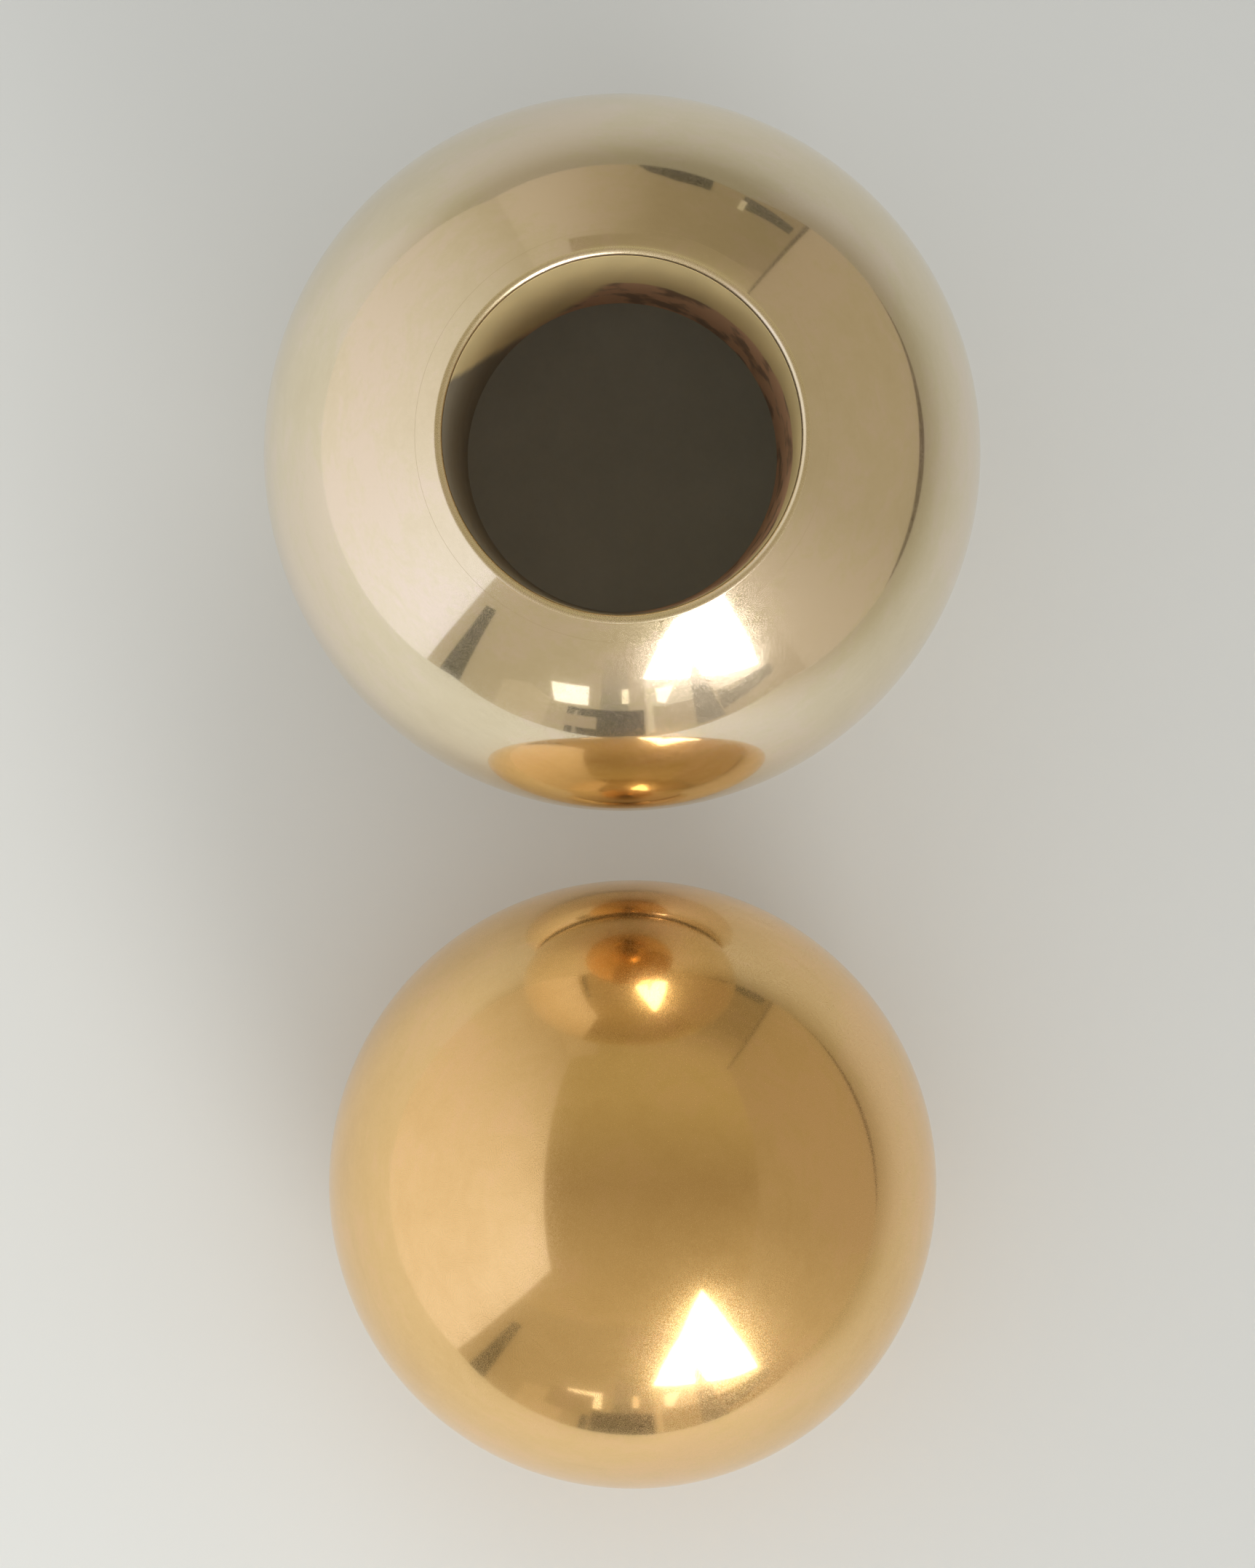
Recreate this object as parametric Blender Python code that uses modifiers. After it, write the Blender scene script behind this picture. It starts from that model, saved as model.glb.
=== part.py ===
"""Pair of polished brass ball-shaped bells.

The pale bell stands mouth up in a low round stand, and lifts straight off it.
The golden bell stands beside it, mouth down, on its own lip.
Units are metres, +Z up.  The origin is the middle of the pair's footprint, on
the surface that both bells stand on.
"""
import math

import bpy
import bmesh

MM = 0.001

# ---------------------------------------------------------------- dimensions
SEGS = 36                     # facets round a turned piece
GAP = 0.3 * MM                # joint gap between touching pieces

# pale bell, mouth up
PALE_AXIS = (0.0, 33.485 * MM)
PALE_R = 34.0 * MM            # outer radius of the ball
PALE_WALL = 2.2 * MM
PALE_C = 48.8 * MM            # height of the ball's centre
PALE_RIM_Z = 77.2 * MM        # where the shell stops and the lip ring starts
PALE_BORE = 16.2 * MM         # inner radius of the mouth
PALE_LIP_TOP = 78.55 * MM
SLEEVE_LEN = 36.0 * MM        # length of the pale bell's mouth sleeve
SLEEVE_WALL = 0.9 * MM
SLEEVE_TAPER = 1.3 * MM       # the sleeve narrows by this much inwards

# golden bell, mouth down
GOLD_AXIS = (1.02 * MM, -37.485 * MM)
GOLD_R = 30.0 * MM
GOLD_WALL = 2.0 * MM
GOLD_C = 26.31 * MM
GOLD_RIM_Z = 2.6 * MM
GOLD_BORE = 13.6 * MM
GOLD_SLEEVE_LEN = 11.5 * MM

# round stand under the pale bell
STAND_WIDE_R = 28.05 * MM     # widest radius
STAND_WIDE_Z = 15.8 * MM      # height of the widest place
STAND_ROUND_R = 18.6 * MM     # how far the flank rounds in
STAND_ROUND_Z = 21.6 * MM     # how high it does so
STAND_BOTTOM_Z = 0.6 * MM
STAND_TOP_Z = 25.2 * MM
STAND_WALL = 1.2 * MM
DISH_R = PALE_R + 1.3 * MM    # radius of the dish that the ball sits in
DISH_WALL = 1.0 * MM
PAD_R = 19.8 * MM
PAD_T = 1.0 * MM
PLATE_R = 20.6 * MM
PLATE_Z = 1.3 * MM
PLATE_T = 1.4 * MM
SCREW_PCD_R = 13.0 * MM
SCREW_HEAD_R = 2.3 * MM
SCREW_SHANK_R = 1.2 * MM


# ------------------------------------------------------------------- helpers
def clear_scene():
    for obj in list(bpy.data.objects):
        bpy.data.objects.remove(obj)


def collection(name):
    coll = bpy.data.collections.new(name)
    bpy.context.scene.collection.children.link(coll)
    return coll


def material(name, colour, roughness, metallic):
    mat = bpy.data.materials.new(name)
    mat.use_nodes = True
    bsdf = mat.node_tree.nodes["Principled BSDF"]
    bsdf.inputs["Base Color"].default_value = (*colour, 1.0)
    bsdf.inputs["Roughness"].default_value = roughness
    bsdf.inputs["Metallic"].default_value = metallic
    return mat


def arc(radius, centre_z, start, end, steps):
    """Points (r, z) on a circle about the axis; angles from straight up, degrees."""
    points = []
    for i in range(steps + 1):
        a = math.radians(start + (end - start) * i / steps)
        points.append((max(0.0, radius * math.sin(a)), centre_z + radius * math.cos(a)))
    return points


def polar(radius, height_above_centre):
    """Angle from straight up, in degrees, of a height on a ball."""
    return math.degrees(math.acos(height_above_centre / radius))


def polar_at(radius, r):
    return math.degrees(math.asin(r / radius))


def turned(name, profile, axis, mat, coll, closed=True, segs=SEGS):
    """A turned piece: the profile runs down its outer side and up its inner one."""
    mesh = bpy.data.meshes.new(name)
    verts = [(r, 0.0, z) for r, z in profile]
    edges = [(i, i + 1) for i in range(len(verts) - 1)]
    if closed:
        edges.append((len(verts) - 1, 0))
    mesh.from_pydata(verts, edges, [])
    obj = bpy.data.objects.new(name, mesh)
    coll.objects.link(obj)
    obj.location = (axis[0], axis[1], 0.0)
    screw = obj.modifiers.new("Turn", 'SCREW')
    screw.axis = 'Z'
    screw.angle = math.tau
    screw.steps = segs
    screw.render_steps = segs
    screw.use_merge_vertices = True
    screw.merge_threshold = 0.000005
    screw.use_smooth_shade = True
    obj.data.materials.append(mat)
    return obj


def cylinder(name, radius, z0, z1, x, y, coll, mat=None, segs=12):
    bm = bmesh.new()
    bmesh.ops.create_cone(bm, cap_ends=True, segments=segs, radius1=radius,
                          radius2=radius, depth=z1 - z0)
    mesh = bpy.data.meshes.new(name)
    bm.to_mesh(mesh)
    bm.free()
    obj = bpy.data.objects.new(name, mesh)
    obj.location = (x, y, 0.5 * (z0 + z1))
    coll.objects.link(obj)
    if mat:
        obj.data.materials.append(mat)
    return obj


def boolean(target, cutter, operation):
    mod = target.modifiers.new(cutter.name, 'BOOLEAN')
    mod.operation = operation
    mod.object = cutter
    mod.solver = 'EXACT'
    cutter.hide_render = True
    cutter.display_type = 'WIRE'


def stand_radius(z):
    """Outer radius of the stand's rounded flank at a height."""
    k = (z - STAND_WIDE_Z) / STAND_ROUND_Z
    return STAND_WIDE_R - STAND_ROUND_R * (1.0 - math.sqrt(1.0 - k * k))


# --------------------------------------------------------------------- pieces
def pale_bell(coll, mats):
    inner = PALE_R - PALE_WALL
    c = PALE_C
    half = 0.5 * GAP
    hole = PALE_BORE + SLEEVE_WALL + GAP          # hole in the shell for the sleeve
    top = polar(PALE_R, PALE_RIM_Z - c)
    # upper half: open at the mouth, butt joint at the middle
    outer = arc(PALE_R, c, top, polar(PALE_R, half), 8)
    inside = arc(inner, c, polar(inner, half), polar_at(inner, hole), 7)
    turned("pale_upper_half", outer + inside + [(hole, PALE_RIM_Z)],
           PALE_AXIS, mats["pale_brass"], coll)
    # lower half: closed bowl
    inside = arc(inner, c, 180.0, polar(inner, -half), 10)
    outer = arc(PALE_R, c, polar(PALE_R, -half), 180.0, 11)
    turned("pale_lower_half", inside + outer, PALE_AXIS, mats["pale_brass"],
           coll, closed=False)
    # backing ring soldered inside the joint of the two halves
    r1, r0 = inner - 0.4 * MM, inner - 1.5 * MM
    turned("pale_joint_ring", [(r1, c + 2.0 * MM), (r1, c - 2.0 * MM),
                               (r0, c - 2.0 * MM), (r0, c + 2.0 * MM)],
           PALE_AXIS, mats["pale_inside"], coll)
    # lip ring: rounded bead that finishes the mouth
    z0 = PALE_RIM_Z + GAP
    r_out = PALE_R * math.sin(math.radians(polar(PALE_R, z0 - c)))
    crest = PALE_BORE + 0.5 * MM
    shoulder = crest + 1.1 * MM                   # the lip follows the ball from here out
    turned("pale_lip_ring", [(crest, PALE_LIP_TOP), (crest + 0.5 * MM, PALE_LIP_TOP - 0.25 * MM),
                             (shoulder, c + math.sqrt(PALE_R ** 2 - shoulder ** 2)), (r_out, z0),
                             (PALE_BORE, z0), (PALE_BORE, PALE_LIP_TOP - 0.4 * MM),
                             (PALE_BORE + 0.2 * MM, PALE_LIP_TOP - 0.08 * MM)],
           PALE_AXIS, mats["pale_brass"], coll)
    # mouth sleeve: thin tapered tube that hangs inside the mouth
    z1, z0 = PALE_RIM_Z, PALE_RIM_Z - SLEEVE_LEN
    b = PALE_BORE
    w = SLEEVE_WALL
    turned("pale_mouth_sleeve", [(b + w, z1), (b + w - SLEEVE_TAPER, z0),
                                 (b - SLEEVE_TAPER, z0), (b, z1)],
           PALE_AXIS, mats["pale_inside"], coll)


def golden_bell(coll, mats):
    inner = GOLD_R - GOLD_WALL
    c = GOLD_C
    half = 0.5 * GAP
    outer = arc(GOLD_R, c, 0.0, polar(GOLD_R, half), 11)
    inside = arc(inner, c, polar(inner, half), 0.0, 10)
    turned("gold_upper_half", outer + inside, GOLD_AXIS, mats["gold_brass"],
           coll, closed=False)
    outer = arc(GOLD_R, c, polar(GOLD_R, -half), polar(GOLD_R, GOLD_RIM_Z - c), 8)
    inside = arc(inner, c, polar(inner, GOLD_RIM_Z - c), polar(inner, -half), 7)
    turned("gold_lower_half", outer + inside, GOLD_AXIS, mats["gold_brass"], coll)
    r1, r0 = inner - 0.4 * MM, inner - 1.5 * MM
    turned("gold_joint_ring", [(r1, c + 2.0 * MM), (r1, c - 2.0 * MM),
                               (r0, c - 2.0 * MM), (r0, c + 2.0 * MM)],
           GOLD_AXIS, mats["gold_inside"], coll)
    # lip ring: stands on the surface
    z1 = GOLD_RIM_Z - GAP
    r_out = math.sqrt(GOLD_R ** 2 - (c - z1) ** 2)
    turned("gold_lip_ring", [(r_out, z1), (r_out - 1.0 * MM, z1 - 1.05 * MM),
                             (15.7 * MM, 0.3 * MM), (15.0 * MM, 0.0),
                             (14.2 * MM, 0.0), (GOLD_BORE + 0.1 * MM, 0.5 * MM),
                             (GOLD_BORE, z1)],
           GOLD_AXIS, mats["gold_brass"], coll)
    b, w = GOLD_BORE, SLEEVE_WALL
    z0, z1 = GOLD_RIM_Z, GOLD_RIM_Z + GOLD_SLEEVE_LEN
    turned("gold_mouth_sleeve", [(b + w - 0.6 * MM, z1), (b + w, z0), (b, z0),
                                 (b - 0.6 * MM, z1)],
           GOLD_AXIS, mats["gold_inside"], coll)


def stand(coll, cutters, mats):
    # outer shell: rounded flank, rim turned in towards the ball, foot turned in
    steps = 11
    outer = []
    for i in range(steps + 1):
        z = STAND_TOP_Z + (STAND_BOTTOM_Z - STAND_TOP_Z) * i / steps
        outer.append((stand_radius(z), z))
    outer[-1] = (stand_radius(STAND_BOTTOM_Z) - 0.5 * MM, STAND_BOTTOM_Z)
    foot_r = PLATE_R + GAP
    inside = [(foot_r, STAND_BOTTOM_Z), (foot_r, STAND_BOTTOM_Z + 1.1 * MM)]
    for i in range(1, steps):
        z = STAND_BOTTOM_Z + (STAND_TOP_Z - 1.6 * MM - STAND_BOTTOM_Z) * i / steps
        if z > STAND_BOTTOM_Z + 1.3 * MM:
            inside.append((stand_radius(z) - STAND_WALL, z))
    # the rim's inner edge clears the ball by 0.6 mm
    rim_z = STAND_TOP_Z - 0.1 * MM
    rim_r = math.sqrt((PALE_R + 0.6 * MM) ** 2 - (PALE_C - rim_z) ** 2)
    inside.append((rim_r + 0.15 * MM, STAND_TOP_Z - 1.4 * MM))
    inside.append((rim_r, rim_z))
    turned("stand_shell", outer + inside, PALE_AXIS, mats["pale_brass"], coll)

    # dish that carries the ring pad; its edge stops short of the shell
    edge = 42.0
    top = arc(DISH_R, PALE_C, 180.0, 180.0 - edge, 8)
    under = arc(DISH_R + DISH_WALL, PALE_C, 180.0 - edge, 180.0, 8)
    turned("stand_seat_dish", top + under, PALE_AXIS, mats["dark_metal"], coll,
           closed=False)

    # soft ring between ball and dish, so that the bell rings freely
    pad_in, pad_out = PALE_R + GAP, DISH_R - GAP
    ring = arc(pad_in, PALE_C, 180.0 - 26.0, 180.0 - 36.0, 3)
    back = arc(pad_out, PALE_C, 180.0 - 36.0, 180.0 - 26.0, 3)
    turned("stand_seat_ring", ring + back, PALE_AXIS, mats["felt"], coll)

    # cast ballast under the dish
    seat = DISH_R + DISH_WALL + GAP
    z0 = PLATE_Z + PLATE_T + GAP
    r_top = 21.5 * MM
    dish = arc(seat, PALE_C, 180.0, 180.0 - polar_at(seat, r_top), 6)
    side = [(24.4 * MM, dish[-1][1] - 0.4 * MM), (24.8 * MM, 10.0 * MM), (21.6 * MM, z0), (0.0, z0)]
    ballast = turned("stand_ballast", dish + side, PALE_AXIS, mats["cast_iron"],
                     coll, closed=False)

    # plate that closes the underside
    plate = turned("stand_base_plate", [(0.0, PLATE_Z + PLATE_T), (PLATE_R, PLATE_Z + PLATE_T),
                                        (PLATE_R, PLATE_Z), (0.0, PLATE_Z)],
                   PALE_AXIS, mats["dark_metal"], coll, closed=False)

    # felt pad, the face that the stand rests on
    turned("stand_pad", [(0.0, PAD_T), (PAD_R, PAD_T), (PAD_R, 0.0), (0.0, 0.0)],
           PALE_AXIS, mats["felt"], coll, closed=False)

    # three screws through the plate into the ballast
    head_z0 = PLATE_Z + 0.1 * MM
    head_z1 = head_z0 + 0.6 * MM
    for i in range(3):
        a = math.radians(90.0 + 120.0 * i)
        x = PALE_AXIS[0] + SCREW_PCD_R * math.cos(a)
        y = PALE_AXIS[1] + SCREW_PCD_R * math.sin(a)
        bore = cylinder("cut_bore_%d" % i, SCREW_SHANK_R + GAP, PLATE_Z - MM,
                        z0 + 6.3 * MM, x, y, cutters)
        sink = cylinder("cut_sink_%d" % i, SCREW_HEAD_R + GAP, PLATE_Z - MM,
                        head_z1 + GAP, x, y, cutters)
        boolean(plate, bore, 'DIFFERENCE')
        boolean(plate, sink, 'DIFFERENCE')
        boolean(ballast, bore, 'DIFFERENCE')
        name = "stand_screw_%d" % (i + 1)
        head = cylinder(name, SCREW_HEAD_R, head_z0, head_z1, x, y, coll,
                        mats["dark_metal"])
        shank = cylinder("screw_shank_%d" % i, SCREW_SHANK_R, head_z0 + 0.2 * MM,
                         z0 + 6.0 * MM, x, y, cutters)
        boolean(head, shank, 'UNION')


def main():
    clear_scene()
    coll = collection("round_bell_pair")
    cutters = collection("cutters")
    mats = {
        "pale_brass": material("pale_brass", (0.78, 0.68, 0.47), 0.06, 1.0),
        "gold_brass": material("gold_brass", (0.83, 0.56, 0.24), 0.06, 1.0),
        "pale_inside": material("pale_inside", (0.20, 0.13, 0.07), 0.35, 1.0),
        "gold_inside": material("gold_inside", (0.30, 0.18, 0.08), 0.35, 1.0),
        "dark_metal": material("dark_metal", (0.22, 0.20, 0.17), 0.45, 1.0),
        "cast_iron": material("cast_iron", (0.10, 0.10, 0.10), 0.70, 0.8),
        "felt": material("felt", (0.05, 0.05, 0.05), 0.95, 0.0),
    }
    pale_bell(coll, mats)
    golden_bell(coll, mats)
    stand(coll, cutters, mats)


main()
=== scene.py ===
"""Looks for the pair of ball-shaped brass bells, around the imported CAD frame."""
import math

import bpy
import bmesh
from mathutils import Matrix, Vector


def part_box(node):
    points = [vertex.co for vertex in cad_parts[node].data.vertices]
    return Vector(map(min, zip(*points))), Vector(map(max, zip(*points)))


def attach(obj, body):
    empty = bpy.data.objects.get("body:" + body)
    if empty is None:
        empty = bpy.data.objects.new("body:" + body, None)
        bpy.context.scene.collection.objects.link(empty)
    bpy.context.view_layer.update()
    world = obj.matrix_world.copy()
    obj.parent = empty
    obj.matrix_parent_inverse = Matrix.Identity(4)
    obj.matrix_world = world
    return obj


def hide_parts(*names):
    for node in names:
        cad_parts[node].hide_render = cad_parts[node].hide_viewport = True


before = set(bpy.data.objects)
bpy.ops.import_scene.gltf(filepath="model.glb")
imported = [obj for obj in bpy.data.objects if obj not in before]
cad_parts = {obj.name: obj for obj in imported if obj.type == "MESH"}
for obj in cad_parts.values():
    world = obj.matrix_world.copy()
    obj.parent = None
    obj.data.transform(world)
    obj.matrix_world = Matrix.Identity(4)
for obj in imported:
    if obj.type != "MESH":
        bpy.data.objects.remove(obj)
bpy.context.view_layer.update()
MM = 0.001

# ------------------------------------------------------------- sizes (metres)
(PX0, PY0, PZ0), (PX1, PY1, PZ1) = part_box("pale_upper_half")
(GX0, GY0, GZ0), (GX1, GY1, GZ1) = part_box("gold_upper_half")
PALE = (0.5 * (PX0 + PX1), 0.5 * (PY0 + PY1))
GOLD = (0.5 * (GX0 + GX1), 0.5 * (GY0 + GY1))
PALE_R = 0.5 * (PX1 - PX0)
GOLD_R = 0.5 * (GX1 - GX0)
PALE_C = 48.8 * MM
GOLD_C = 26.31 * MM
PALE_WALL, GOLD_WALL = 2.2 * MM, 2.0 * MM
RIM_Z = 77.2 * MM
BORE = 16.2 * MM
LIP_TOP = 78.55 * MM
SEAM = 0.012 * MM
SEGS = 224


# ------------------------------------------------------------------ materials
def new_mat(name):
    m = bpy.data.materials.new(name)
    m.use_nodes = True
    nt = m.node_tree
    bsdf = nt.nodes["Principled BSDF"]
    return m, nt, bsdf


def node(nt, kind, **inputs):
    n = nt.nodes.new(kind)
    for k, v in inputs.items():
        n.inputs[k.replace("_", " ")].default_value = v
    return n


def ramp(nt, fac, stops):
    r = nt.nodes.new("ShaderNodeValToRGB")
    el = r.color_ramp.elements
    while len(el) > len(stops):
        el.remove(el[-1])
    while len(el) < len(stops):
        el.new(1.0)
    for e, (p, c) in zip(el, stops):
        e.position = p
        e.color = (*c, 1.0) if len(c) == 3 else c
    nt.links.new(fac, r.inputs["Fac"])
    return r


def noise(nt, vec, scale, detail=2.0, rough=0.5, dist=0.0):
    n = nt.nodes.new("ShaderNodeTexNoise")
    n.inputs["Scale"].default_value = scale
    n.inputs["Detail"].default_value = detail
    n.inputs["Roughness"].default_value = rough
    n.inputs["Distortion"].default_value = dist
    nt.links.new(vec, n.inputs["Vector"])
    return n


def mapping(nt, vec, scale=(1, 1, 1), rot=(0, 0, 0), loc=(0, 0, 0)):
    mp = nt.nodes.new("ShaderNodeMapping")
    mp.inputs["Scale"].default_value = scale
    mp.inputs["Rotation"].default_value = rot
    mp.inputs["Location"].default_value = loc
    nt.links.new(vec, mp.inputs["Vector"])
    return mp


def polished_brass(name, base, tone, rough, haze, share, centre, wave, seed):
    """Mirror-polished brass: faint cloudy tone and a fine grain that scatters a share of the light."""
    m, nt, b = new_mat(name)
    tc = nt.nodes.new("ShaderNodeTexCoord")
    pos = mapping(nt, tc.outputs["Object"], loc=(-centre[0] + seed, -centre[1], 0)).outputs[0]
    cloud = noise(nt, pos, 46.0, 3.0, 0.55, 0.3)
    fine = noise(nt, pos, 1500.0, 2.0, 0.6)
    mottle = noise(nt, mapping(nt, pos, scale=(1, 1, 2.2), rot=(0.4, -0.3, 0.6)).outputs[0], 260.0, 4.0, 0.62, 0.6)
    mixed = math_node(nt, "MULTIPLY_ADD", fine.outputs["Fac"], 0.22, cloud.outputs["Fac"])
    mixed = math_node(nt, "MULTIPLY_ADD", mottle.outputs["Fac"], 0.55, mixed)
    warm = (min(1.0, base[0] * 1.03), base[1] * 1.01, base[2] * 1.09)
    col = ramp(nt, mixed, [(0.62, tone), (0.88, base), (1.12, warm)])
    nt.links.new(col.outputs["Color"], b.inputs["Base Color"])
    b.inputs["Metallic"].default_value = 1.0
    # grain finer than a tenth of a millimetre: most of it sharp, a share of it hazy
    grain = noise(nt, pos, 21000.0, 1.0, 0.5)
    wiped = noise(nt, mapping(nt, pos, scale=(1, 1, 6), rot=(0.5, 0.3, 0.2)).outputs[0], 120.0, 3.0, 0.6)
    gsum = nt.nodes.new("ShaderNodeMath")
    gsum.operation = "MULTIPLY_ADD"
    nt.links.new(wiped.outputs["Fac"], gsum.inputs[0])
    gsum.inputs[1].default_value = 0.10
    nt.links.new(grain.outputs["Fac"], gsum.inputs[2])
    edge = 0.68 - 0.35 * share
    rr = ramp(nt, gsum.outputs[0], [(edge - 0.10, (rough,) * 3), (edge, (rough * 1.6,) * 3), (edge + 0.05, (haze,) * 3)])
    nt.links.new(rr.outputs["Color"], b.inputs["Roughness"])
    # long, very low waves left by spinning and polishing
    bw = noise(nt, pos, 80.0, 2.0, 0.4)
    bump = nt.nodes.new("ShaderNodeBump")
    bump.inputs["Strength"].default_value = wave
    bump.inputs["Distance"].default_value = 0.00010
    nt.links.new(bw.outputs["Fac"], bump.inputs["Height"])
    nt.links.new(bump.outputs["Normal"], b.inputs["Normal"])
    return m


def dark_inside(name, base, tone, rough):
    """Inside of a bell: unpolished, evenly brown with age."""
    m, nt, b = new_mat(name)
    tc = nt.nodes.new("ShaderNodeTexCoord")
    n1 = noise(nt, tc.outputs["Object"], 70.0, 4.0, 0.6)
    n2 = noise(nt, tc.outputs["Object"], 1400.0, 2.0, 0.6)
    col = ramp(nt, n1.outputs["Fac"], [(0.3, tone), (0.7, base)])
    nt.links.new(col.outputs["Color"], b.inputs["Base Color"])
    b.inputs["Metallic"].default_value = 0.25
    b.inputs["Specular IOR Level"].default_value = 0.3
    rr = ramp(nt, n2.outputs["Fac"], [(0.3, (rough,) * 3), (0.7, (rough + 0.12,) * 3)])
    nt.links.new(rr.outputs["Color"], b.inputs["Roughness"])
    bump = nt.nodes.new("ShaderNodeBump")
    bump.inputs["Strength"].default_value = 0.3
    bump.inputs["Distance"].default_value = 0.00003
    nt.links.new(n2.outputs["Fac"], bump.inputs["Height"])
    nt.links.new(bump.outputs["Normal"], b.inputs["Normal"])
    return m


def math_node(nt, op, a, b=None, c=None):
    n = nt.nodes.new("ShaderNodeMath")
    n.operation = op
    for i, v in enumerate((a, b, c)):
        if v is None:
            continue
        if isinstance(v, (int, float)):
            n.inputs[i].default_value = v
        else:
            nt.links.new(v, n.inputs[i])
    return n.outputs[0]


def mix_colour(nt, fac, a, b):
    n = nt.nodes.new("ShaderNodeMix")
    n.data_type = "RGBA"
    nt.links.new(fac, n.inputs["Factor"])
    for key, v in (("A", a), ("B", b)):
        if isinstance(v, tuple):
            n.inputs[key].default_value = (*v, 1.0)
        else:
            nt.links.new(v, n.inputs[key])
    return n.outputs["Result"]


def step_up(nt, value, lo, hi):
    mr = nt.nodes.new("ShaderNodeMapRange")
    mr.interpolation_type = "SMOOTHSTEP"
    mr.inputs["From Min"].default_value = lo
    mr.inputs["From Max"].default_value = hi
    nt.links.new(value, mr.inputs["Value"])
    return mr.outputs["Result"]


def sleeve_metal(name, axis, olive, red, dark, z_band, flip=False, cut=None):
    """Mouth sleeve: a painted band of light in olive gold by the lip, red-brown further in, and painted shade, nearly
    black, where it faces away.
    """
    m, nt, b = new_mat(name)
    tc = nt.nodes.new("ShaderNodeTexCoord")
    sep = nt.nodes.new("ShaderNodeSeparateXYZ")
    nt.links.new(tc.outputs["Object"], sep.inputs[0])
    x = math_node(nt, "SUBTRACT", sep.outputs["X"], axis[0])
    y = math_node(nt, "SUBTRACT", sep.outputs["Y"], axis[1])
    wob = noise(nt, tc.outputs["Object"], 150.0, 3.0, 0.55).outputs["Fac"]
    spots = noise(nt, mapping(nt, tc.outputs["Object"], scale=(1, 1, 0.5)).outputs[0], 260.0, 3.0, 0.6).outputs["Fac"]
    # red-brown, with darker stains
    base = mix_colour(nt, step_up(nt, spots, 0.36, 0.52), tuple(0.45 * c for c in red), red)
    # painted shade: darker towards the side that faces the shaded end of the room
    side = math_node(nt, "MULTIPLY_ADD", y, 0.45, x)
    side = math_node(nt, "MULTIPLY_ADD", wob, 0.004, side)
    base = mix_colour(nt, step_up(nt, side, -0.0055, -0.0005), dark, base)
    # painted light: an olive band of window-lit metal by the lip, deepest at the back and gone on the shaded side
    zz = math_node(nt, "MULTIPLY_ADD", wob, 0.004, sep.outputs["Z"])
    if not flip:
        zz = math_node(nt, "MULTIPLY_ADD", math_node(nt, "SUBTRACT", 0.0160, y), -0.50, zz)
        zz = math_node(nt, "MULTIPLY_ADD", step_up(nt, math_node(nt, "MULTIPLY", x, -1.0), 0.0060, 0.0125), -0.016, zz)
    band = step_up(nt, zz, z_band, z_band + 0.0016)
    if flip:
        band = math_node(nt, "SUBTRACT", 1.0, band)
    base = mix_colour(nt, band, base, olive)
    # painted light: brighter olive on the lit side of the lip's shadow edge
    if cut is not None:
        (nx, ny, nz), c0 = cut
        d = math_node(nt, "MULTIPLY", sep.outputs["X"], nx)
        d = math_node(nt, "MULTIPLY_ADD", sep.outputs["Y"], ny, d)
        d = math_node(nt, "MULTIPLY_ADD", sep.outputs["Z"], nz, d)
        d = math_node(nt, "MULTIPLY_ADD", wob, 0.0004, d)
        base = mix_colour(nt, step_up(nt, d, c0 - 0.0002, c0 + 0.0005), base, tuple(min(1.0, 1.06 * c) for c in olive))
    nt.links.new(base, b.inputs["Base Color"])
    b.inputs["Metallic"].default_value = 0.25
    rr = ramp(nt, spots, [(0.3, (0.45,) * 3), (0.7, (0.60,) * 3)])
    nt.links.new(rr.outputs["Color"], b.inputs["Roughness"])
    return m


def dull_metal(name, base, tone, rough):
    m, nt, b = new_mat(name)
    tc = nt.nodes.new("ShaderNodeTexCoord")
    n1 = noise(nt, tc.outputs["Object"], 260.0, 4.0, 0.6)
    col = ramp(nt, n1.outputs["Fac"], [(0.3, tone), (0.7, base)])
    nt.links.new(col.outputs["Color"], b.inputs["Base Color"])
    b.inputs["Metallic"].default_value = 0.9
    rr = ramp(nt, n1.outputs["Fac"], [(0.3, (rough,) * 3), (0.7, (rough + 0.2,) * 3)])
    nt.links.new(rr.outputs["Color"], b.inputs["Roughness"])
    bump = nt.nodes.new("ShaderNodeBump")
    bump.inputs["Strength"].default_value = 0.5
    bump.inputs["Distance"].default_value = 0.00006
    nt.links.new(n1.outputs["Fac"], bump.inputs["Height"])
    nt.links.new(bump.outputs["Normal"], b.inputs["Normal"])
    return m


def felt(name, base, tone):
    m, nt, b = new_mat(name)
    tc = nt.nodes.new("ShaderNodeTexCoord")
    f1 = noise(nt, mapping(nt, tc.outputs["Object"], scale=(1, 5, 2), rot=(0, 0, 0.5)).outputs[0], 900.0, 4.0, 0.7, 1.5)
    f2 = noise(nt, mapping(nt, tc.outputs["Object"], scale=(5, 1, 2), rot=(0, 0, -0.2)).outputs[0], 1100.0, 4.0, 0.7, 1.5)
    mx = nt.nodes.new("ShaderNodeMath")
    mx.operation = "MAXIMUM"
    nt.links.new(f1.outputs["Fac"], mx.inputs[0])
    nt.links.new(f2.outputs["Fac"], mx.inputs[1])
    col = ramp(nt, mx.outputs[0], [(0.4, tone), (0.75, base)])
    nt.links.new(col.outputs["Color"], b.inputs["Base Color"])
    b.inputs["Roughness"].default_value = 0.95
    b.inputs["Sheen Weight"].default_value = 0.35
    b.inputs["Sheen Roughness"].default_value = 0.5
    bump = nt.nodes.new("ShaderNodeBump")
    bump.inputs["Strength"].default_value = 0.8
    bump.inputs["Distance"].default_value = 0.00015
    nt.links.new(mx.outputs[0], bump.inputs["Height"])
    nt.links.new(bump.outputs["Normal"], b.inputs["Normal"])
    return m


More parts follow.
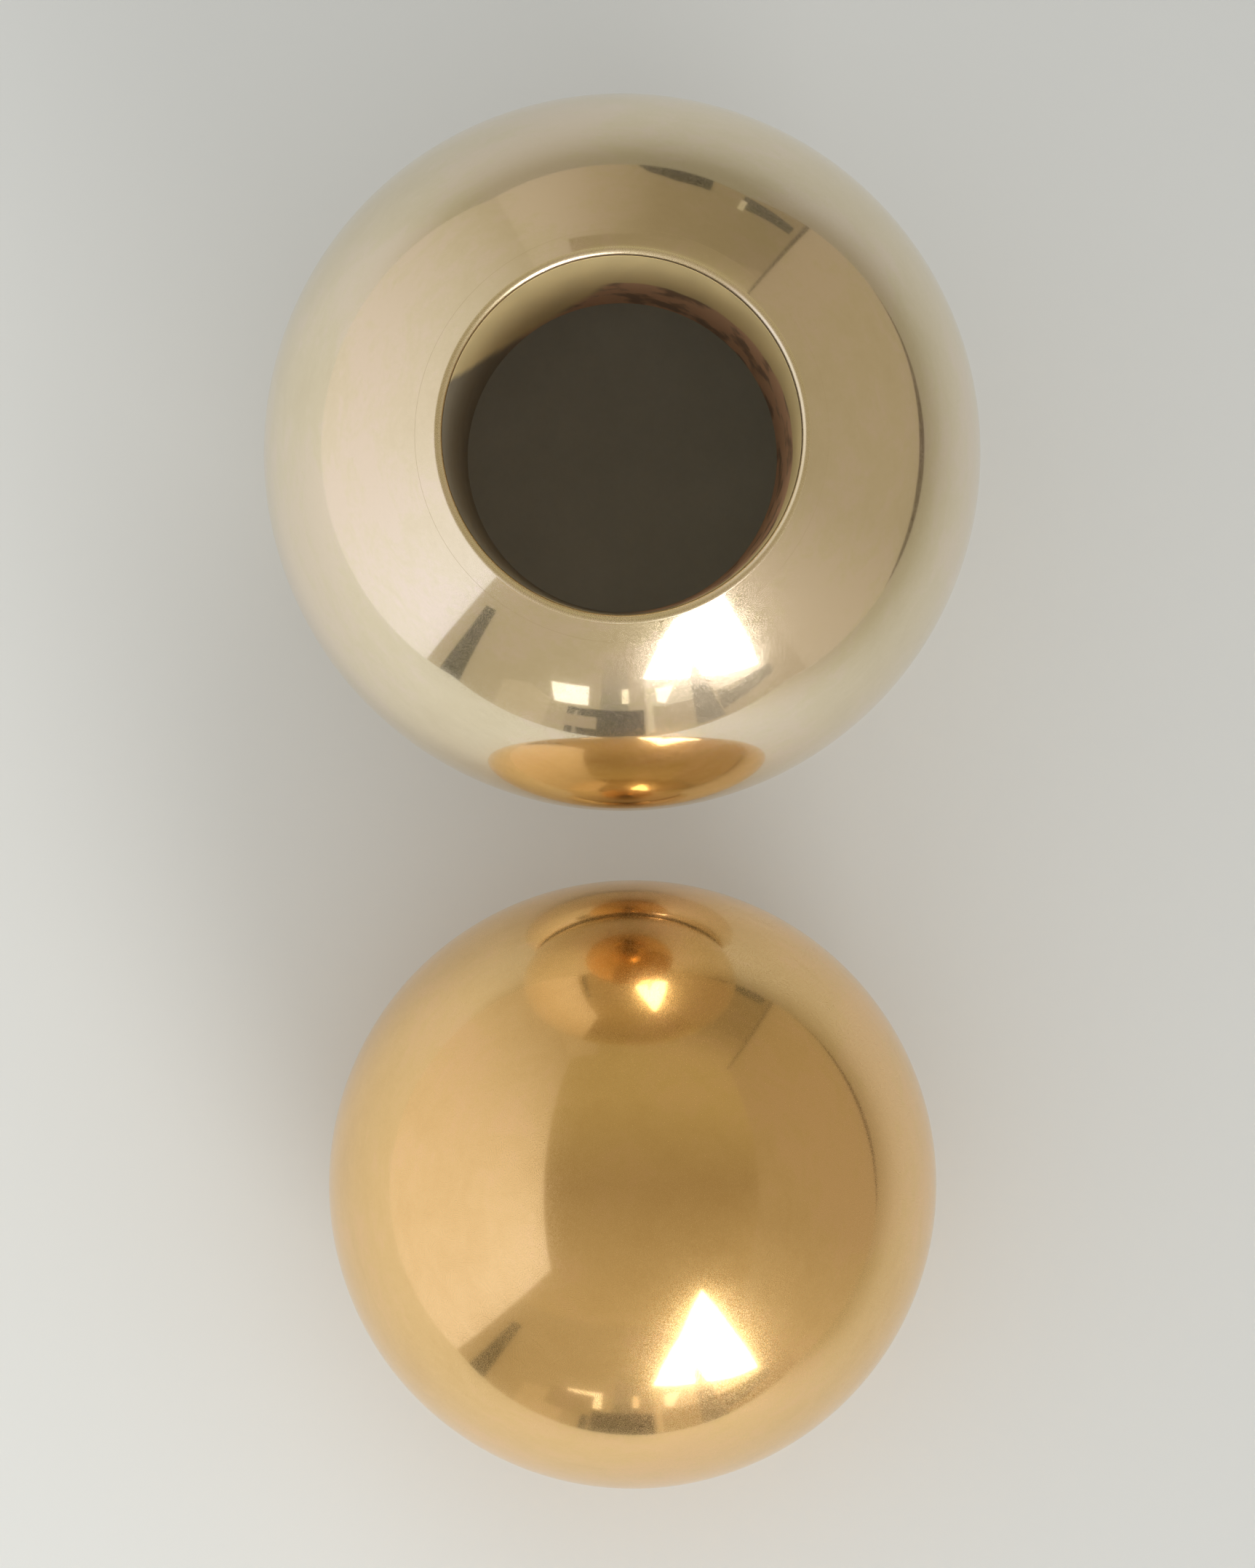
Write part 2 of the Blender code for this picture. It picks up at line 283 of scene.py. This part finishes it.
PALE_BRASS = polished_brass("pale_brass", (0.82, 0.71, 0.515), (0.78, 0.67, 0.475), 0.045, 0.27, 0.27, PALE, 0.20, 0.0)
PALE_LIP = polished_brass("pale_lip", (0.84, 0.735, 0.54), (0.80, 0.69, 0.49), 0.20, 0.34, 0.40, PALE, 0.20, 0.0)
GOLD_BRASS = polished_brass("gold_brass", (0.87, 0.585, 0.265), (0.82, 0.54, 0.235), 0.065, 0.28, 0.36, GOLD, 0.28, 0.4)
PALE_DARK = dark_inside("pale_inside", (0.60, 0.575, 0.48), (0.53, 0.51, 0.42), 0.62)
GOLD_DARK = dark_inside("gold_inside", (0.40, 0.30, 0.18), (0.32, 0.23, 0.13), 0.62)


def plane_through(p, q, r):
    """Unit normal and offset of the plane through three points, normal towards -X +Y."""
    u = [q[i] - p[i] for i in range(3)]
    v = [r[i] - p[i] for i in range(3)]
    n = [u[1] * v[2] - u[2] * v[1], u[2] * v[0] - u[0] * v[2], u[0] * v[1] - u[1] * v[0]]
    k = math.sqrt(sum(c * c for c in n))
    n = [c / k for c in n]
    if n[1] - n[0] < 0:
        n = [-c for c in n]
    return tuple(n), sum(n[i] * p[i] for i in range(3))


# painted light: the window-lit patch inside the mouth ends along one straight, slanting line, the edge of the lip's
# shadow, laid through the camera point
LIT_EDGE_PLANE = plane_through((0.51 * MM, 2.04 * MM, 602.1 * MM), (-15.52 * MM, PALE[1] + 6.5 * MM, 60.0 * MM),
                    (-4.54 * MM, PALE[1] + 13.2 * MM, 60.0 * MM))
# in both sleeves the olive colour is painted light and the darkest colour painted shade
PALE_SLEEVE = sleeve_metal("pale_sleeve", PALE, (0.86, 0.70, 0.37), (0.74, 0.47, 0.31), (0.30, 0.265, 0.20), 58.0 * MM, cut=LIT_EDGE_PLANE)
GOLD_SLEEVE = sleeve_metal("gold_sleeve", GOLD, (0.78, 0.55, 0.22), (0.50, 0.28, 0.14), (0.20, 0.13, 0.07), 5.0 * MM, flip=True)
STEEL = dull_metal("dark_metal", (0.24, 0.22, 0.19), (0.17, 0.155, 0.13), 0.35)
IRON = dull_metal("cast_iron", (0.11, 0.105, 0.10), (0.06, 0.058, 0.055), 0.6)
FELT = felt("felt", (0.055, 0.053, 0.050), (0.020, 0.019, 0.018))


# --------------------------------------------------------------------- meshes
def arc(radius, cz, start, end, steps):
    out = []
    for i in range(steps + 1):
        a = math.radians(start + (end - start) * i / steps)
        out.append((max(0.0, radius * math.sin(a)), cz + radius * math.cos(a)))
    return out


def polar(radius, h):
    return math.degrees(math.acos(max(-1.0, min(1.0, h / radius))))


def polar_at(radius, r):
    return math.degrees(math.asin(r / radius))


def turned(name, profile, axis, mats, body, replaces, closed=True, segs=SEGS, sharp=32.0):
    """Surface of revolution.  profile: (r, z[, material index of the face that starts here])."""
    bm = bmesh.new()
    rows = []
    for p in profile:
        r, z = p[0], p[1]
        if r < 1e-7:
            rows.append([bm.verts.new((axis[0], axis[1], z))])
        else:
            rows.append([bm.verts.new((axis[0] + r * math.cos(math.tau * i / segs),
                                       axis[1] + r * math.sin(math.tau * i / segs), z)) for i in range(segs)])
    n = len(rows)
    for j in range(n if closed else n - 1):
        a, b = rows[j], rows[(j + 1) % n]
        mi = profile[j][2] if len(profile[j]) > 2 else 0
        for i in range(segs):
            k = (i + 1) % segs
            if len(a) == 1 and len(b) == 1:
                continue
            if len(a) == 1:
                f = bm.faces.new((a[0], b[i], b[k]))
            elif len(b) == 1:
                f = bm.faces.new((a[i], b[0], a[k]))
            else:
                f = bm.faces.new((a[i], b[i], b[k], a[k]))
            f.material_index = mi
            f.smooth = True
    bmesh.ops.recalc_face_normals(bm, faces=bm.faces)
    mesh = bpy.data.meshes.new(name)
    bm.to_mesh(mesh)
    bm.free()
    mesh.set_sharp_from_angle(angle=math.radians(sharp))
    for m in mats:
        mesh.materials.append(m)
    obj = bpy.data.objects.new(name, mesh)
    bpy.context.scene.collection.objects.link(obj)
    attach(obj, body)
    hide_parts(*replaces)
    return obj


def tag(points, index):
    return [(p[0], p[1], index) for p in points]


# pale bell -----------------------------------------------------------------
inner = PALE_R - PALE_WALL
hole = BORE + 1.2 * MM
top_in = PALE_C + math.sqrt(inner ** 2 - hole ** 2)
r_rim = math.sqrt(PALE_R ** 2 - (RIM_Z - PALE_C) ** 2)
up_out = arc(PALE_R, PALE_C, polar(PALE_R, RIM_Z - PALE_C), polar(PALE_R, SEAM), 40)
up_in = arc(inner, PALE_C, polar(inner, SEAM), polar_at(inner, hole), 24)
turned("bell_upper", tag(up_out, 0)[:-1] + [(*up_out[-1], 1)] + tag(up_in, 1) + [(hole, RIM_Z, 0)],
       PALE, [PALE_BRASS, PALE_DARK], "pale_bell", ["pale_upper_half"])
lo_in = arc(inner, PALE_C, 180.0, polar(inner, -SEAM), 40)
lo_out = arc(PALE_R, PALE_C, polar(PALE_R, -SEAM), 180.0, 64)
turned("bell_lower", tag(lo_in, 1) + tag(lo_out, 0), PALE, [PALE_BRASS, PALE_DARK], "pale_bell",
       ["pale_lower_half"], closed=False)
# lip ring: carries the ball's curve on and rolls over into the mouth
z0 = RIM_Z + SEAM
ROLL = 0.55 * MM
cr = BORE + ROLL
cz = PALE_C + math.sqrt((PALE_R - ROLL) ** 2 - cr ** 2)
TILT = math.degrees(math.asin(cr / (PALE_R - ROLL)))
start = -math.degrees(math.acos((z0 - cz) / ROLL))
roll = []
for i in range(25):
    a = math.radians(start + (TILT - start) * i / 24)          # from the bore, over the crest, outwards
    roll.append((cr + ROLL * math.sin(a), cz + ROLL * math.cos(a)))
lip = arc(PALE_R, PALE_C, TILT, polar(PALE_R, z0 - PALE_C), 6)[1:]
turned("bell_lip", tag(roll, 1)[:-1] + [(*roll[-1], 0)] + tag(lip, 0), PALE, [PALE_BRASS, PALE_LIP], "pale_bell", ["pale_lip_ring"], sharp=50.0)
# mouth sleeve
s0, s1 = RIM_Z - 36.0 * MM, RIM_Z - 0.01 * MM
sl = []
for i in range(25):
    t = i / 24.0
    sl.append((BORE - 1.3 * MM * (1 - t), s0 + (s1 - s0) * t, 0))
so = [(p[0] + 0.9 * MM, p[1], 1) for p in reversed(sl)]
turned("bell_sleeve", so + sl, PALE, [PALE_SLEEVE, PALE_DARK], "pale_bell",
       ["pale_mouth_sleeve"])

# golden bell ---------------------------------------------------------------
inner = GOLD_R - GOLD_WALL
g_out = arc(GOLD_R, GOLD_C, 0.0, polar(GOLD_R, SEAM), 64)
g_in = arc(inner, GOLD_C, polar(inner, SEAM), 0.0, 40)
turned("gold_upper", tag(g_out, 0) + tag(g_in, 1), GOLD, [GOLD_BRASS, GOLD_DARK], "gold_bell",
       ["gold_upper_half"], closed=False)
G_RIM = 2.6 * MM
g_out = arc(GOLD_R, GOLD_C, polar(GOLD_R, -SEAM), polar(GOLD_R, G_RIM - GOLD_C), 48)
g_in = arc(inner, GOLD_C, polar(inner, G_RIM - GOLD_C), polar(inner, -SEAM), 28)
turned("gold_lower", tag(g_out, 0) + tag(g_in, 1), GOLD, [GOLD_BRASS, GOLD_DARK], "gold_bell",
       ["gold_lower_half"])
z1 = G_RIM - SEAM
low = arc(GOLD_R, GOLD_C, polar(GOLD_R, z1 - GOLD_C), polar(GOLD_R, 0.45 * MM - GOLD_C), 6)
g_lip = low + [(low[-1][0] - 0.30 * MM, 0.22 * MM), (low[-1][0] - 0.65 * MM, 0.06 * MM),
               (low[-1][0] - 1.0 * MM, 0.0), (14.2 * MM, 0.0), (13.9 * MM, 0.10 * MM),
               (13.66 * MM, 0.38 * MM), (13.6 * MM, 0.8 * MM), (13.6 * MM, z1)]
turned("gold_lip", g_lip, GOLD, [GOLD_BRASS], "gold_bell", ["gold_lip_ring"], sharp=50.0)
s0, s1 = G_RIM + 0.01 * MM, G_RIM + 11.5 * MM
sl = []
for i in range(9):
    t = i / 8.0
    sl.append((13.6 * MM - 0.6 * MM * t, s0 + (s1 - s0) * t, 0))
so = [(p[0] + 0.9 * MM, p[1], 1) for p in reversed(sl)]
turned("gold_sleeve", so + sl, GOLD, [GOLD_SLEEVE, GOLD_DARK], "gold_bell",
       ["gold_mouth_sleeve"])

# stand ---------------------------------------------------------------------
WIDE_R, WIDE_Z, RND_R, RND_Z = 28.05 * MM, 15.8 * MM, 18.6 * MM, 21.6 * MM
S_BOT, S_TOP = 0.6 * MM, 25.2 * MM


def stand_r(z):
    k = (z - WIDE_Z) / RND_Z
    return WIDE_R - RND_R * (1.0 - math.sqrt(1.0 - k * k))


rim_r = math.sqrt((PALE_R + 0.6 * MM) ** 2 - (PALE_C - S_TOP) ** 2)
prof = []
top_r = stand_r(S_TOP - 0.15 * MM)
prof += [(top_r - 0.16 * MM, S_TOP - 0.02 * MM, 0)]
steps = 44
for i in range(steps + 1):
    z = (S_TOP - 0.15 * MM) + (1.0 * MM - (S_TOP - 0.15 * MM)) * i / steps
    prof.append((stand_r(z), z, 0))
prof += [(stand_r(0.8 * MM) - 0.05 * MM, 0.78 * MM, 0), (stand_r(0.7 * MM) - 0.25 * MM, 0.63 * MM, 0),
         (stand_r(0.6 * MM) - 0.5 * MM, S_BOT, 1), (20.9 * MM, S_BOT, 1), (20.9 * MM, 1.7 * MM, 1)]
for i in range(2, 21):
    z = S_BOT + (S_TOP - 1.6 * MM - S_BOT) * i / 21
    prof.append((stand_r(z) - 1.2 * MM, z, 1))
prof += [(rim_r + 0.15 * MM, S_TOP - 1.4 * MM, 0), (rim_r + 0.02 * MM, S_TOP - 0.12 * MM, 0),
         (rim_r + 0.12 * MM, S_TOP, 0)]
turned("stand_body", prof, PALE, [PALE_BRASS, PALE_DARK], "stand", ["stand_shell"], sharp=40.0)
DISH = PALE_R + 1.3 * MM
dish = arc(DISH, PALE_C, 180.0, 138.4, 26) + arc(DISH + 0.5 * MM, PALE_C, 138.05, 138.0, 1)[1:] \
    + arc(DISH + 1.0 * MM, PALE_C, 138.4, 180.0, 18)
turned("stand_dish", dish, PALE, [STEEL], "stand", ["stand_seat_dish"], closed=False)
ring = arc(PALE_R + 0.45 * MM, PALE_C, 153.6, 144.4, 10)
back = arc(DISH - 0.08 * MM, PALE_C, 144.0, 154.0, 10)
turned("stand_felt_ring", ring + back, PALE, [FELT], "stand", ["stand_seat_ring"])
turned("stand_felt_pad", [(0.0, 1.05 * MM), (19.5 * MM, 1.05 * MM), (19.75 * MM, 0.9 * MM), (19.8 * MM, 0.5 * MM),
                          (19.72 * MM, 0.12 * MM), (19.5 * MM, 0.0), (0.0, 0.0)], PALE, [FELT], "stand",
       ["stand_pad"], closed=False, segs=160)

# hidden CAD pieces keep their shape and get a finish
for name, mat in (("pale_joint_ring", PALE_DARK), ("gold_joint_ring", GOLD_DARK), ("stand_ballast", IRON),
                  ("stand_base_plate", STEEL), ("stand_screw_1", STEEL), ("stand_screw_2", STEEL), ("stand_screw_3", STEEL)):
    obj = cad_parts[name]
    obj = obj if not isinstance(obj, str) else bpy.data.objects[obj]
    obj.data.materials.clear()
    obj.data.materials.append(mat)


# ---------------------------------------------------------------- stage: floor
def plain_floor(name, graded):
    m, nt, b = new_mat(name)
    tc = nt.nodes.new("ShaderNodeTexCoord")
    sep = nt.nodes.new("ShaderNodeSeparateXYZ")
    nt.links.new(tc.outputs["Object"], sep.inputs[0])
    cloud = noise(nt, tc.outputs["Object"], 9.0, 3.0, 0.5).outputs["Fac"]
    x, y = sep.outputs["X"], sep.outputs["Y"]
    if graded:
        # painted light: the board is lighter towards the south-west and darker towards the north-east
        t = math_node(nt, "MULTIPLY", math_node(nt, "ADD", x, y), 0.7071)
        tone = nt.nodes.new("ShaderNodeMapRange")
        for k, v in (("From Min", -0.13), ("From Max", 0.25), ("To Min", 0.93), ("To Max", 0.56)):
            tone.inputs[k].default_value = v
        nt.links.new(t, tone.inputs["Value"])
        # painted light: a soft straight edge of light, 5 % darker on its north-east side
        d = math_node(nt, "MULTIPLY_ADD", x, 0.920, math_node(nt, "MULTIPLY", y, 0.391))
        d = math_node(nt, "ADD", d, 0.0479)
        soft = math_node(nt, "MULTIPLY_ADD", step_up(nt, d, -0.012, 0.016), -0.05, 1.0)
        value = math_node(nt, "MULTIPLY", tone.outputs["Result"], soft)
        # painted shade: darker far out to the east and north
        east = step_up(nt, x, 0.070, 0.190)
        north = step_up(nt, y, 0.110, 0.330)
        far_shade = math_node(nt, "MAXIMUM", east, north)
        value = math_node(nt, "MULTIPLY", value, math_node(nt, "MULTIPLY_ADD", far_shade, -0.30, 1.0))
    else:
        value = math_node(nt, "ADD", 0.72, 0.0)
    value = math_node(nt, "MULTIPLY", value, math_node(nt, "MULTIPLY_ADD", cloud, 0.02, 0.99))
    col = nt.nodes.new("ShaderNodeMix")
    col.data_type = "RGBA"
    col.blend_type = "MULTIPLY"
    col.inputs["Factor"].default_value = 1.0
    col.inputs["A"].default_value = (1.0, 1.0, 0.965, 1.0)
    if graded:
        # the painted shade far out is also warmer
        nt.links.new(mix_colour(nt, far_shade, (1.0, 1.0, 0.965), (1.0, 0.92, 0.70)), col.inputs["A"])
    nt.links.new(value, col.inputs["B"])
    nt.links.new(col.outputs["Result"], b.inputs["Base Color"])
    b.inputs["Roughness"].default_value = 0.75
    b.inputs["Specular IOR Level"].default_value = 0.15
    return m


BX0, BX1, BY0, BY1 = -0.205, 0.195, -0.235, 0.43
bpy.ops.mesh.primitive_cube_add(size=1.0, location=(0.5 * (BX0 + BX1), 0.5 * (BY0 + BY1), -0.006))
board = bpy.context.object
board.name = "floor_board"
board.scale = (BX1 - BX0, BY1 - BY0, 0.012)
bpy.ops.object.transform_apply(location=True, rotation=False, scale=True)
board.data.materials.append(plain_floor("floor_pale", True))
bpy.ops.mesh.primitive_plane_add(size=1.0, location=(0.365, 0.1, -0.0125))
far = bpy.context.object
far.name = "floor_far"
far.scale = (2.8, 4.1, 1.0)
bpy.ops.object.transform_apply(location=True, rotation=False, scale=True)
far.data.materials.append(plain_floor("floor_far", False))
far.visible_glossy = False


# ------------------------------------------------- stage: light cards of a room
def glow(name, colour, strength=1.0, grad=None):
    """Emission; grad = (axis, from, to, colour at the far end)."""
    m = bpy.data.materials.new(name)
    m.use_nodes = True
    nt = m.node_tree
    nt.nodes.clear()
    out = nt.nodes.new("ShaderNodeOutputMaterial")
    em = nt.nodes.new("ShaderNodeEmission")
    em.inputs["Color"].default_value = (*colour, 1.0)
    em.inputs["Strength"].default_value = strength
    if grad:
        tc = nt.nodes.new("ShaderNodeTexCoord")
        sep = nt.nodes.new("ShaderNodeSeparateXYZ")
        nt.links.new(tc.outputs["Object"], sep.inputs[0])
        mr = nt.nodes.new("ShaderNodeMapRange")
        mr.interpolation_type = "SMOOTHSTEP"
        mr.inputs["From Min"].default_value = grad[1]
        mr.inputs["From Max"].default_value = grad[2]
        nt.links.new(sep.outputs["XYZ".index(grad[0])], mr.inputs["Value"])
        stops = [(0.0, colour)] + grad[3]
        r = ramp(nt, mr.outputs["Result"], stops)
        nt.links.new(r.outputs["Color"], em.inputs["Color"])
    nt.links.new(em.outputs[0], out.inputs["Surface"])
    return m


def card(name, points, mat, light=False):
    """Flat emissive polygon, seen in reflections and by the floor, not by the camera."""
    mesh = bpy.data.meshes.new(name)
    mesh.from_pydata(points, [], [list(range(len(points)))])
    mesh.materials.append(mat)
    obj = bpy.data.objects.new(name, mesh)
    bpy.context.scene.collection.objects.link(obj)
    obj.visible_camera = False
    if not light:
        obj.visible_diffuse = False
        obj.visible_shadow = False
    return obj


CEIL, FLOOR_Z = 1.65, -0.75
XW, XE, YS, YN = -1.05, 1.78, -2.0, 2.2


def on_south(pts, depth):
    return [(x, YS + depth, z) for x, z in pts]


def rect(x0, x1, z0, z1):
    return [(x0, z0), (x1, z0), (x1, z1), (x0, z1)]


card("room_west", [(XW, -1.05, FLOOR_Z), (XW, 4.0, FLOOR_Z), (XW, 4.0, CEIL), (XW, -1.05, CEIL)],
     glow("west", (1.04, 1.04, 1.12), 1.0, ("Y", -1.05, 2.6, [(0.13, (0.95, 0.93, 0.93)), (0.30, (0.85, 0.81, 0.77)), (0.52, (0.72, 0.68, 0.60)), (1.0, (0.50, 0.44, 0.32))])))
card("room_north_high", [(-0.55, YN - 0.01, 0.85), (XE, YN - 0.01, 0.85), (XE, YN - 0.01, CEIL), (-0.55, YN - 0.01, CEIL)],
     glow("north_high", (0.335, 0.275, 0.172), 1.0, ("Z", 0.85, 1.60, [(1.0, (0.46, 0.40, 0.245))])))
card("room_north", [(XW, YN, FLOOR_Z), (XE, YN, FLOOR_Z), (XE, YN, CEIL), (XW, YN, CEIL)],
     glow("north", (0.56, 0.50, 0.38), 1.0, ("X", XW, XE, [(0.22, (0.43, 0.365, 0.25)), (0.48, (0.325, 0.265, 0.165)), (1.0, (0.28, 0.23, 0.14))])))
card("room_east", [(XE, YS, FLOOR_Z), (XE, YN, FLOOR_Z), (XE, YN, CEIL), (XE, YS, CEIL)],
     glow("east", (0.60, 0.54, 0.42), 1.0, ("Y", YS, YN, [(0.3, (0.46, 0.40, 0.29)), (1.0, (0.42, 0.355, 0.24))])))
card("room_south", [(-2.6, YS, FLOOR_Z), (XE, YS, FLOOR_Z), (XE, YS, CEIL), (-2.6, YS, CEIL)],
     glow("south", (0.52, 0.46, 0.34), 1.0))
card("room_southwest", [(-2.6, YS, FLOOR_Z), (-2.6, -1.05, FLOOR_Z), (-2.6, -1.05, CEIL), (-2.6, YS, CEIL)],
     glow("southwest", (0.16, 0.15, 0.12), 1.0))
card("room_back", [(-2.6, -1.05, FLOOR_Z), (XW, -1.05, FLOOR_Z), (XW, -1.05, CEIL), (-2.6, -1.05, CEIL)],
     glow("back", (0.22, 0.20, 0.155), 1.0))
card("room_ceiling", [(-2.6, YS, CEIL), (XE, YS, CEIL), (XE, 4.0, CEIL), (-2.6, 4.0, CEIL)],
     glow("ceiling", (0.56, 0.49, 0.35), 1.0, ("Y", YS, YN, [(0.30, (0.45, 0.385, 0.26)), (0.48, (0.375, 0.31, 0.20)), (0.62, (0.40, 0.34, 0.21)), (0.85, (0.47, 0.41, 0.245))])))
card("room_floor", [(-2.6, YS, FLOOR_Z), (XE, YS, FLOOR_Z), (XE, 4.0, FLOOR_Z), (-2.6, 4.0, FLOOR_Z)],
     glow("ground", (0.26, 0.22, 0.15), 1.0))

# windows and what stands round them, on the south side
def near_south(pts, k=0.64):
    """Same direction as on the south card, but nearer, so that the ceiling card doesn't cut it."""
    return [(x * k, YS * k, 0.06 + (z - 0.06) * k) for x, z in pts]


WIN = glow("window", (1.0, 0.985, 0.96), 8.0)
card("window_main", near_south([(0.20, 0.46), (0.47, 0.40), (0.73, 0.33), (0.98, 0.22), (1.33, 0.12), (1.37, 0.60),
                                (1.39, 1.20), (1.40, 1.90), (1.37, 2.44), (0.98, 1.92), (0.68, 1.39), (0.45, 1.04),
                                (0.31, 0.76)]), WIN)
card("window_low", on_south([(-0.62, 0.28), (-0.55, 0.0), (-0.27, 0.02), (-0.28, 0.31)], 0.03),
     glow("window_low", (1.0, 0.97, 0.92), 2.0))
card("window_post", near_south([(0.60, 0.20), (0.75, 0.20), (0.72, 0.66), (0.65, 0.66)], 0.63),
     glow("window_post", (0.50, 0.47, 0.40), 1.0))
card("glass_left", on_south([(0.20, 0.02), (0.58, 0.0), (0.60, 0.45), (0.18, 0.47)], 0.02),
     glow("glass_left", (0.78, 0.74, 0.62), 1.0))
card("glass_right", on_south([(0.78, 0.02), (1.36, 0.02), (1.42, 0.24), (1.12, 0.22), (0.76, 0.44)], 0.02),
     glow("glass_right", (0.84, 0.79, 0.67), 1.1))
card("sill_right", on_south([(0.80, -0.34), (1.40, -0.16), (1.42, 0.0), (1.15, 0.02), (0.95, -0.08), (0.80, 0.02)], 0.03),
     glow("sill_right", (0.30, 0.28, 0.22), 1.0))
card("post", on_south([(0.60, 0.42), (0.72, 0.36), (0.80, -0.45), (0.56, -0.45)], 0.04),
     glow("post", (0.30, 0.285, 0.235), 1.0))
card("cabinet", on_south(rect(-0.43, 0.17, -0.60, -0.03), 0.03), glow("cabinet", (0.115, 0.11, 0.092), 1.0))
card("cabinet_edge", on_south(rect(-0.37, -0.34, -0.48, -0.08), 0.05), glow("cabinet_edge", (0.40, 0.37, 0.30), 1.0))
card("post_mid", on_south(rect(-0.17, 0.05, -0.03, 0.75), 0.025),
     glow("post_mid", (0.34, 0.32, 0.26), 1.0, ("Z", -0.03, 0.75, [(1.0, (0.50, 0.45, 0.34))])))
card("lamp_small", on_south(rect(0.0, 0.055, 0.08, 0.29), 0.05), glow("lamp_small", (1.0, 0.93, 0.75), 1.6))
card("panel_light", on_south(rect(0.19, 0.24, -0.42, 0.29), 0.05), glow("panel_light", (0.80, 0.74, 0.58), 1.0))
card("pane_small", on_south([(0.28, 0.27), (0.44, 0.29), (0.34, 0.04), (0.28, 0.08)], 0.05),
     glow("pane_small", (1.0, 0.96, 0.90), 2.2))
card("clutter_left", on_south([(-1.05, -0.55), (-0.62, -0.60), (-0.58, 0.02), (-0.80, 0.15), (-1.05, 0.05)], 0.03),
     glow("clutter_left", (0.62, 0.55, 0.42), 1.0))
card("strip_southwest", [(-1.74, YS + 0.02, FLOOR_Z), (-1.44, YS + 0.02, FLOOR_Z), (-1.52, YS + 0.02, 0.40),
                         (-1.56, YS + 0.02, 1.05), (-1.74, YS + 0.02, 1.05)],
     glow("strip_southwest", (0.13, 0.125, 0.10), 1.0))
# low dark things along the north side, and the room's north-east corner
card("north_low_1", [(0.05, YN - 0.02, -0.42), (0.72, YN - 0.02, -0.34), (0.72, YN - 0.02, -0.13), (0.42, YN - 0.02, -0.13), (0.20, YN - 0.02, -0.22)],
     glow("north_low_1", (0.07, 0.065, 0.05), 1.0))
card("north_low_2", [(1.02, YN - 0.02, -0.32), (1.62, YN - 0.02, -0.34), (1.62, YN - 0.02, -0.15), (1.02, YN - 0.02, -0.06)],
     glow("north_low_2", (0.10, 0.095, 0.07), 1.0))
card("north_low_3", [(1.00, YN - 0.03, -0.22), (1.06, YN - 0.03, -0.22), (1.06, YN - 0.03, -0.02), (1.00, YN - 0.03, -0.02)],
     glow("north_low_3", (0.62, 0.56, 0.40), 1.0))
card("corner_line", [(XE - 0.09, YN - 0.02, FLOOR_Z), (XE - 0.03, YN - 0.02, FLOOR_Z), (XE - 0.01, YN - 0.02, CEIL),
                     (XE - 0.05, YN - 0.02, CEIL)], glow("corner_line", (0.13, 0.11, 0.075), 1.0))
# the board's shaded east edge, as its reflections show it
card("edge_east", [(BX1 + 0.001, -0.065, 0.0), (BX1 + 0.016, -0.040, 0.0), (BX1 + 0.030, 0.010, 0.0), (BX1 + 0.028, 0.055, 0.0),
                   (BX1 + 0.010, 0.120, 0.0), (BX1 + 0.001, 0.170, 0.0)],
     glow("edge_east", (0.085, 0.062, 0.042), 1.0))
# the golden bell stands lower and doesn't see the low pane
card("blind", [(-0.035, -0.125, 0.041), (-0.015, -0.125, 0.041), (-0.015, -0.125, 0.056), (-0.035, -0.125, 0.056)],
     glow("blind", (0.46, 0.40, 0.29), 1.0))

# a soft key from the window side, for the floor only
lamp = bpy.data.lights.new("key", "AREA")
lamp.shape = "DISK"
lamp.size = 0.9
lamp.energy = 6.0
lamp.color = (1.0, 0.985, 0.96)
key = bpy.data.objects.new("key", lamp)
key.location = (0.72, -1.30, 1.00)
key.rotation_euler = (math.radians(56.0), 0.0, math.radians(29.0))
key.visible_glossy = False
bpy.context.scene.collection.objects.link(key)

# ------------------------------------------------------------------- world
world = bpy.data.worlds.new("plain")
bpy.context.scene.world = world
world.use_nodes = True
world.node_tree.nodes["Background"].inputs["Color"].default_value = (0.765, 0.775, 0.77, 1.0)
world.node_tree.nodes["Background"].inputs["Strength"].default_value = 1.0
bpy.context.scene.view_settings.view_transform = "Standard"

# ------------------------------------------------------------------- camera
cam = bpy.data.cameras.new("camera")
cam.sensor_width = 36.0
cam.lens = 36.0 * 8000.0 / 2156.0
cam.clip_start, cam.clip_end = 0.01, 20.0
co = bpy.data.objects.new("camera", cam)
co.location = (0.51 * MM, 2.04 * MM, 602.1 * MM)
bpy.context.scene.collection.objects.link(co)
bpy.context.scene.camera = co
